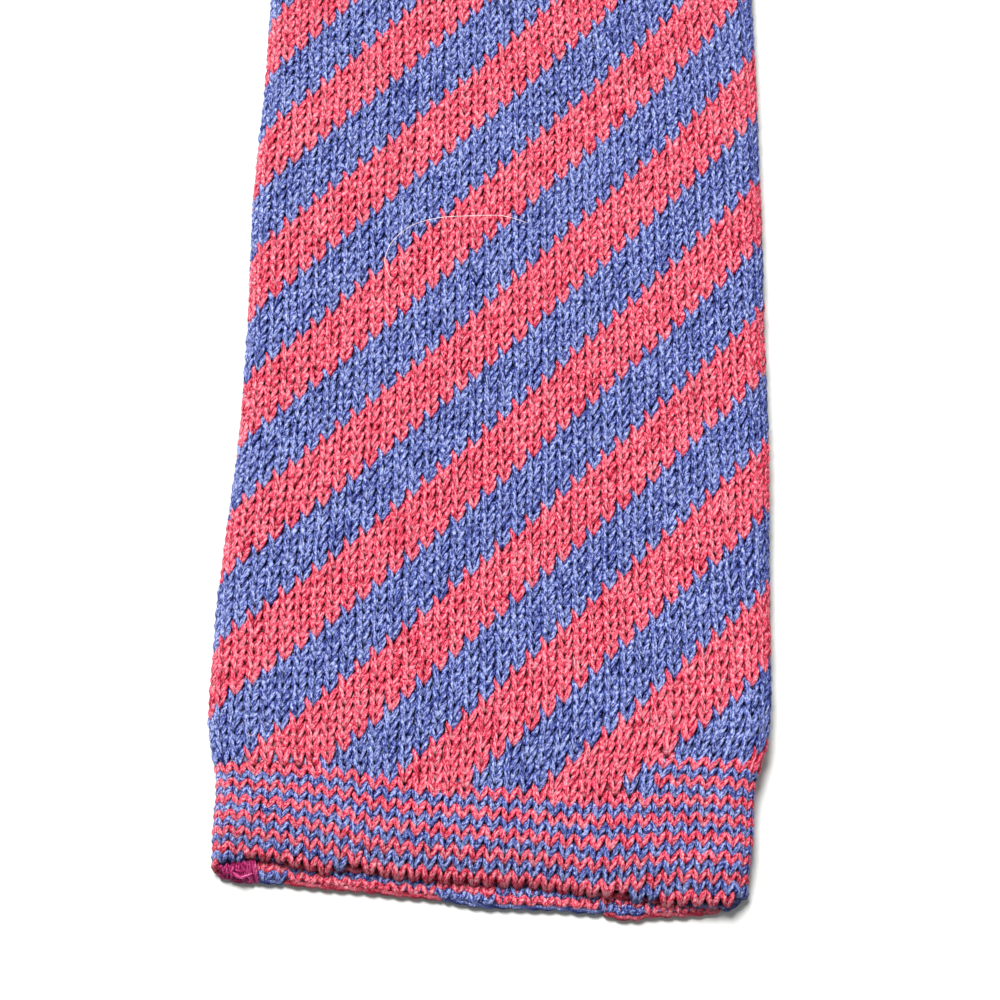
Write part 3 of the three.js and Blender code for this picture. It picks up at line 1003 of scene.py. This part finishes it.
def fabric_tube():
    """The hollow tube from end to end: ribbed along its wales, and set back under the modelled stitches."""
    distances = tube_distances()
    steps = np.arange(ROUND_STEPS)
    distance, wale = np.meshgrid(distances, steps * WALES / ROUND_STEPS, indexing="ij")
    width, shift = outline_at(distance)
    rib = -RIB_DEPTH * (1 - np.mod(steps, 2))
    front = (wale < FRONT_WALES + SIDE_WALES) | (wale > WALES - SIDE_WALES)
    cover = (1 - smooth((distance - STITCHED_LENGTH + COVERED_BEFORE) / COVERED_RUN)) * front
    outer_lift = (FABRIC_LIFT + rib) * (1 - cover) - COVERED_INSET * cover
    inner_lift = -FABRIC_INNER * np.ones_like(cover)
    layers = []
    for lift in (outer_lift, inner_lift):
        across, height = section(wale + wale_drift(distance), width, lift)
        upper = smooth((height - TIE_THICKNESS / 2 + LAYER_BLEND) / (2 * LAYER_BLEND))
        upper_end = line(CREASE, across) + UPPER_END_INSET
        lower_end = line(LIP_EDGE, across) + LOWER_END_INSET
        ends_at = upper_end * upper + lower_end * (1 - upper)
        laid = distance + ends_at * (1 - smooth(distance / ORIGIN_FROM_END))
        height = pressed(across, laid, height)
        layers.append(lay(laid, across + shift, height))
    rings = len(distances)
    points = np.concatenate([layer.reshape(-1, 3) for layer in layers])
    size = rings * ROUND_STEPS
    corner_wales = np.arange(ROUND_STEPS + 1) * WALES / ROUND_STEPS
    corner_table = np.stack(
        [
            np.broadcast_to(corner_wales, (rings, ROUND_STEPS + 1)),
            course_at(
                np.minimum(corner_wales, WALES - 1e-6)[None, :],
                distances[:, None] * np.ones((1, ROUND_STEPS + 1)),
            ),
        ],
        axis=-1,
    )
    faces = []
    corners = []
    for layer in (0, 1):
        for low in range(rings - 1):
            high = low + 1
            for side in range(ROUND_STEPS):
                after = (side + 1) % ROUND_STEPS
                loop = [(low, side, side), (high, side, side), (high, after, side + 1), (low, after, side + 1)]
                if layer:
                    loop.reverse()
                faces.append(tuple(layer * size + ring * ROUND_STEPS + step for ring, step, _ in loop))
                corners.extend(corner_table[ring, at] for ring, _, at in loop)
    for ring in (0, rings - 1):
        for side in range(ROUND_STEPS):
            after = (side + 1) % ROUND_STEPS
            loop = [(0, side, side), (0, after, side + 1), (1, after, side + 1), (1, side, side)]
            if ring:
                loop.reverse()
            faces.append(tuple(layer * size + ring * ROUND_STEPS + step for layer, step, _ in loop))
            corners.extend(corner_table[ring, at] for _, _, at in loop)
    tube = make_mesh("knit_fabric", points, faces, np.array(corners))
    covered = tube.data.attributes.new("covered", "FLOAT", "POINT")
    covered.data.foreach_set("value", np.tile(cover.astype(np.float32).ravel(), 2))
    end_band = tube.data.attributes.new("end_band", "FLOAT", "POINT")
    ends = (distance < BAND_LENGTH) | (distance > TOTAL_LENGTH - BAND_LENGTH)
    end_band.data.foreach_set("value", np.tile(ends.astype(np.float32).ravel(), 2))
    tube.data.materials.append(fabric_material())
    return tube


def mix_colour(tree, share, first, second):
    """Mixes two colour sockets by a share."""
    made = node(tree, "ShaderNodeMix", data_type="RGBA")
    tree.links.new(share, made.inputs[0])
    tree.links.new(first, made.inputs[6])
    tree.links.new(second, made.inputs[7])
    return made.outputs[2]


def fabric_material():
    """Stitches drawn from wale and course: V-shaped, ridged and striped like the modelled ones, with painted shade
    between them and painted highlights on raised fibre.
    """
    material, tree, shader = blank_material("knit_ground")
    wale_here, course_here = split_yarn_place(tree)
    wale = math_node(tree, "FLOOR", wale_here)
    inside = math_node(tree, "SUBTRACT", math_node(tree, "FRACT", wale_here), 0.5)
    aside = math_node(tree, "ABSOLUTE", inside)
    slanted = math_node(tree, "MULTIPLY_ADD", aside, -FABRIC_SLANT, course_here)
    course = math_node(tree, "FLOOR", slanted)
    part = math_node(tree, "FRACT", slanted)
    step = math_node(tree, "SUBTRACT", course, wale)
    shifted = math_node(tree, "SUBTRACT", step, STRIPE_START - 24 * STRIPE_COURSES)
    around = math_node(tree, "MODULO", shifted, 2 * STRIPE_COURSES)
    stripe_blue = math_node(tree, "GREATER_THAN", around, STRIPE_COURSES - 0.5)
    end_band = node(tree, "ShaderNodeAttribute", attribute_name="end_band").outputs["Fac"]
    single = math_node(tree, "GREATER_THAN", math_node(tree, "PINGPONG", course, 1.0), 0.5)
    in_band = math_node(tree, "GREATER_THAN", end_band, 0.5)
    difference = math_node(tree, "SUBTRACT", single, stripe_blue)
    blue_share = math_node(tree, "MULTIPLY_ADD", difference, in_band, stripe_blue)
    along = math_node(tree, "SINE", math_node(tree, "MULTIPLY", part, math.pi))
    beside = math_node(tree, "SINE", math_node(tree, "MULTIPLY", aside, 2 * math.pi))
    bulge_along = math_node(tree, "POWER", along, BULGE_ALONG_POWER)
    bulge_beside = math_node(tree, "POWER", beside, BULGE_BESIDE_POWER)
    bulge = math_node(tree, "MULTIPLY", bulge_along, bulge_beside)
    # Fine fuzz: bump and, in the colour, painted highlights and painted shade at random
    fuzz = object_noise(tree, FABRIC_GRAIN_SCALE)
    grain = math_node(tree, "MULTIPLY_ADD", fuzz, FABRIC_GRAIN_DEPTH, -FABRIC_GRAIN_DEPTH / 2)
    covered = node(tree, "ShaderNodeAttribute", attribute_name="covered").outputs["Fac"]
    level = math_node(tree, "MULTIPLY_ADD", bulge, BULGE_SHARE, grain)
    # Painted light where the modelled stitches cover the fabric: the level moves up the ramp, away from the painted
    # shade
    level = math_node(tree, "MULTIPLY_ADD", covered, COVERED_PAINTED_LIGHT, level)
    # Painted light and shade: the ramps paint the gaps and sides of the drawn stitches dark and the raised fibre
    # pale
    red = ramp(tree, level, zip(FABRIC_STOPS, FABRIC_COLOURS["red"]))
    blue = ramp(tree, level, zip(FABRIC_STOPS, FABRIC_COLOURS["blue"]))
    tree.links.new(mix_colour(tree, blue_share, red, blue), shader.inputs["Base Color"])
    shader.inputs["Roughness"].default_value = FABRIC_ROUGHNESS
    shader.inputs["Specular IOR Level"].default_value = FABRIC_SPECULAR
    shader.inputs["Sheen Weight"].default_value = FABRIC_SHEEN
    shader.inputs["Sheen Roughness"].default_value = FABRIC_SHEEN_ROUGHNESS
    shader.inputs["Sheen Tint"].default_value = FABRIC_SHEEN_COLOUR
    raise_surface(tree, shader, level, FABRIC_BUMP)
    return material


# Camera: the photograph's view, found from how the knit shrinks towards the top
PHOTO_ELEVATION_DEG = 69.3
PHOTO_HEADING_DEG = 1.31
PHOTO_LENS = 72.0
PHOTO_DISTANCE = 211.4
PHOTO_CENTRE = (0.0, -20.2, TIE_THICKNESS)


def photo_camera():
    """The camera at the photograph's angle."""
    elevation = math.radians(PHOTO_ELEVATION_DEG)
    heading = math.radians(PHOTO_HEADING_DEG)
    forward = Vector((
        -math.sin(heading) * math.cos(elevation),
        math.cos(heading) * math.cos(elevation),
        -math.sin(elevation),
    ))
    data = bpy.data.cameras.new("photo_camera")
    data.lens = PHOTO_LENS
    data.sensor_width = 36.0
    data.clip_start = 0.01
    camera = bpy.data.objects.new("photo_camera", data)
    camera.location = (Vector(PHOTO_CENTRE) - PHOTO_DISTANCE * forward) * MM
    camera.rotation_euler = forward.to_track_quat("-Z", "Y").to_euler()
    bpy.context.scene.collection.objects.link(camera)
    bpy.context.scene.camera = camera


# Studio: pale floor, soft key from the upper left, weak fill, and a dim cool surround
FLOOR_SIZE = 6.0
FLOOR_CENTRE = (0.0, 0.3, 0.0)
FLOOR_COLOUR = (0.5, 0.5, 0.485, 1.0)
FLOOR_ROUGHNESS = 0.9
LIGHT_TARGET = (0.0, 0.15, 0.0)
LIGHTS = [("key", (-0.4, 1.0, 1.6), 0.8, 108.0), ("fill", (1.2, -0.6, 1.3), 1.4, 8.0)]
SURROUND_COLOUR = (0.9, 0.95, 1.0, 1.0)
SURROUND_STRENGTH = 0.22


def area_light(name, location, size, power):
    """A square soft light that faces the tie, with its side in metres and its power in watts."""
    data = bpy.data.lights.new(name, "AREA")
    data.size = size
    data.energy = power
    light = bpy.data.objects.new(name, data)
    light.location = location
    aim = Vector(LIGHT_TARGET) - Vector(location)
    light.rotation_euler = aim.to_track_quat("-Z", "Y").to_euler()
    bpy.context.scene.collection.objects.link(light)


def studio():
    """Plain pale floor, its two lights and the surround."""
    bpy.ops.mesh.primitive_plane_add(size=FLOOR_SIZE, location=FLOOR_CENTRE)
    floor = bpy.context.object
    floor.name = "floor"
    material, _, shader = blank_material("floor")
    shader.inputs["Base Color"].default_value = FLOOR_COLOUR
    shader.inputs["Roughness"].default_value = FLOOR_ROUGHNESS
    floor.data.materials.append(material)
    for light in LIGHTS:
        area_light(*light)
    world = bpy.data.worlds.new("studio")
    world.use_nodes = True
    surround = world.node_tree.nodes["Background"]
    surround.inputs["Color"].default_value = SURROUND_COLOUR
    surround.inputs["Strength"].default_value = SURROUND_STRENGTH
    bpy.context.scene.world = world
    bpy.context.scene.view_settings.view_transform = "Standard"


photo_camera()
studio()
tube = fabric_tube()
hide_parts("knit_tube", "wide_end_band", "tail_end_band")
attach(tube, "root")
for piece in build_stitches():
    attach(piece, "root")
corner = corner_stitches()
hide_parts("corner_stitch")
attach(corner, "root")
for piece in rolled_edges() + loose_fibres() + [long_fibre()]:
    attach(piece, "root")
